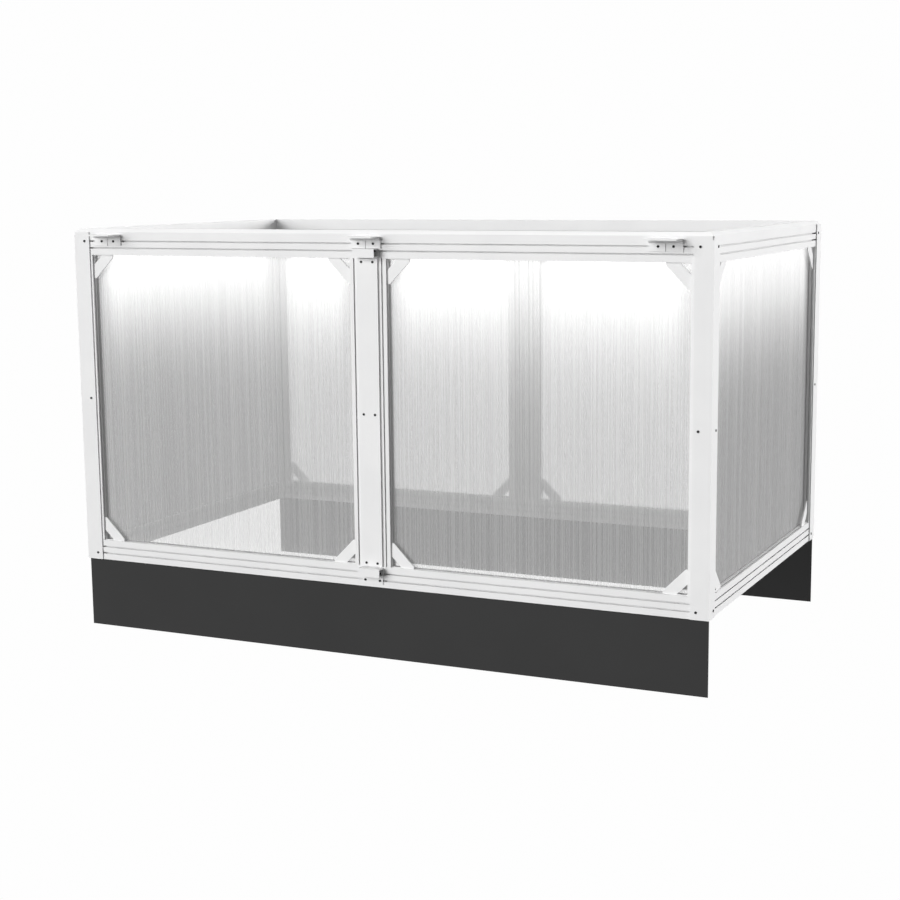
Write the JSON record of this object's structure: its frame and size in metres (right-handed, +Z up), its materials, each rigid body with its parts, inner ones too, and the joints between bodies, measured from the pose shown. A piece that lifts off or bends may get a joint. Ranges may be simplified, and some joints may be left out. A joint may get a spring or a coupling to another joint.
{
  "type": "cold frame",
  "caption": "Open-topped rectangular cold frame of slotted white profile with fluted clear wall sheets, corner gussets, lid hinge leaves and dark skirt boards.",
  "frame": {"origin": "centre of the overall box, on the ground", "axes": "+X along the front to the right, +Y from front to rear, +Z up"},
  "size_m": [1.5024, 0.9126, 0.9205],
  "materials": {
    "frame": "satin white powder coat on aluminium profile",
    "fittings": "satin white powder coat on sheet fittings",
    "glazing": "clear fluted twin-wall sheet, flutes upright",
    "skirt": "matt anthracite coat",
    "seals": "soft grey gasket",
    "screws": "dark zinc plated",
    "steel": "zinc plated"
  },
  "bodies": {
    "root": {"front_left_bottom_rail": "frame", "front_left_glazing": "glazing", "front_left_gussets": "fittings", "front_left_left_stile": "frame", "front_left_right_stile": "frame", "front_left_top_rail": "frame", "front_mullion_cover": "fittings", "front_right_bottom_rail": "frame", "front_right_glazing": "glazing", "front_right_gussets": "fittings", "front_right_left_stile": "frame", "front_right_right_stile": "frame", "front_right_top_rail": "frame", "front_skirt": "skirt", "glazing_seals": "seals", "hinge_pins": "steel", "hinge_plate_left": "fittings", "hinge_plate_middle": "fittings", "hinge_plate_right": "fittings", "hinge_screws": "screws", "joint_plates": "fittings", "left_end_bottom_rail": "frame", "left_end_glazing": "glazing", "left_end_gussets": "fittings", "left_end_left_stile": "frame", "left_end_right_stile": "frame", "left_end_top_rail": "frame", "mullion_screws": "screws", "post_front_left": "frame", "post_front_right": "frame", "post_rear_left": "frame", "post_rear_right": "frame", "post_screws": "screws", "rear_left_bottom_rail": "frame", "rear_left_glazing": "glazing", "rear_left_gussets": "fittings", "rear_left_left_stile": "frame", "rear_left_right_stile": "frame", "rear_left_top_rail": "frame", "rear_mullion_cover": "fittings", "rear_right_bottom_rail": "frame", "rear_right_glazing": "glazing", "rear_right_gussets": "fittings", "rear_right_left_stile": "frame", "rear_right_right_stile": "frame", "rear_right_top_rail": "frame", "rear_skirt": "skirt", "right_end_bottom_rail": "frame", "right_end_glazing": "glazing", "right_end_gussets": "fittings", "right_end_left_stile": "frame", "right_end_right_stile": "frame", "right_end_top_rail": "frame", "saddle_bottom": "fittings", "saddle_top": "fittings", "slot_nuts": "steel"},
    "lid_leaf_left": {"lid_leaf_left": "fittings"},
    "lid_leaf_middle": {"lid_leaf_middle": "fittings"},
    "lid_leaf_right": {"lid_leaf_right": "fittings"}
  },
  "joints": [
    {"name": "lid_hinge_left", "type": "hinge", "parent": "root", "child": "lid_leaf_left", "pos_m": [-0.659, -0.41415, 0.904], "axis": [-1, 0, 0], "range_deg": [-45, 90]},
    {"name": "lid_hinge_middle", "type": "hinge", "parent": "root", "child": "lid_leaf_middle", "pos_m": [-0.003, -0.41415, 0.904], "axis": [-1, 0, 0], "range_deg": [-45, 90]},
    {"name": "lid_hinge_right", "type": "hinge", "parent": "root", "child": "lid_leaf_right", "pos_m": [0.653, -0.41415, 0.904], "axis": [-1, 0, 0], "range_deg": [-45, 90]}
  ]
}
